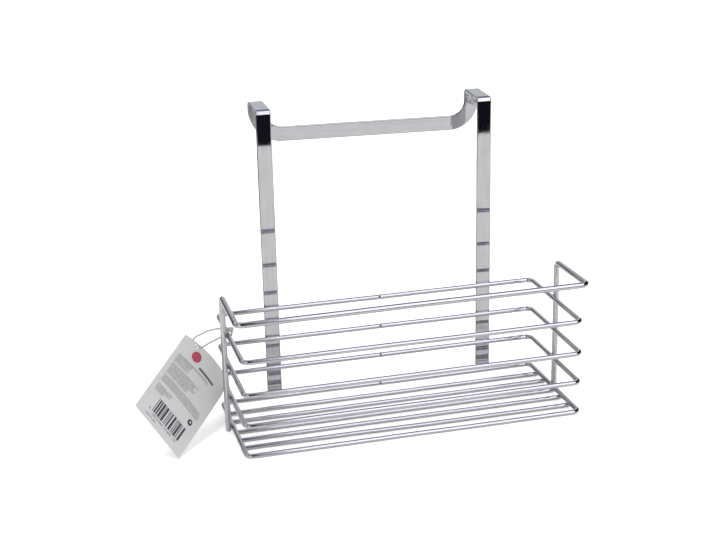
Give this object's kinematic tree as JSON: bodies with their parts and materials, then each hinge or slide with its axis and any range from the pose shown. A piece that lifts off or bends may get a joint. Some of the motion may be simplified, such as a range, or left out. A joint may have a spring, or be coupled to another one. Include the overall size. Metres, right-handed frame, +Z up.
{
  "type": "hanging shower caddy",
  "caption": "Chromed wire basket on a bent flat-bar hanger that hooks over a door or screen, with a swing tag on a plastic loop.",
  "frame": {"origin": "middle of the crossbar's door-side face, on the basket's middle plane, where the back of a door lies against the hanger", "axes": "+X to the right seen from the front of the basket, +Y from the basket towards and through the door, +Z up"},
  "size_m": [0.3934, 0.1625, 0.2739],
  "materials": {
    "chromed_bar": "chrome plate on flat steel bar, faintly brushed along its length",
    "chromed_wire": "bright chrome plate on round steel wire",
    "clear_plastic": "translucent moulded nylon",
    "printed_card": "pale grey card, printed with plain rules, blocks, bars and a disc"
  },
  "bodies": {
    "caddy": {"hanger_strap": "chromed_bar", "top_rail": "chromed_wire", "upper_loop": "chromed_wire", "middle_loop": "chromed_wire", "lower_loop": "chromed_wire", "bottom_loop": "chromed_wire", "floor_wire_1": "chromed_wire", "floor_wire_2": "chromed_wire", "floor_wire_3": "chromed_wire", "floor_wire_4": "chromed_wire", "floor_wire_5": "chromed_wire"},
    "tag_loop": {"tag_loop": "clear_plastic"},
    "tag_card": {"tag_card": "printed_card"}
  },
  "joints": [
    {"name": "tag_loop_swing", "type": "hinge", "parent": "caddy", "child": "tag_loop", "pos_m": [-0.1498, -0.0871, -0.14965], "axis": [0, 1, 0], "range_deg": [0, 90]},
    {"name": "tag_card_flap", "type": "hinge", "parent": "tag_loop", "child": "tag_card", "pos_m": [-0.175, -0.0711, -0.16405], "axis": [-0.691, 0.231, 0.685], "range_deg": [0, 30]}
  ]
}
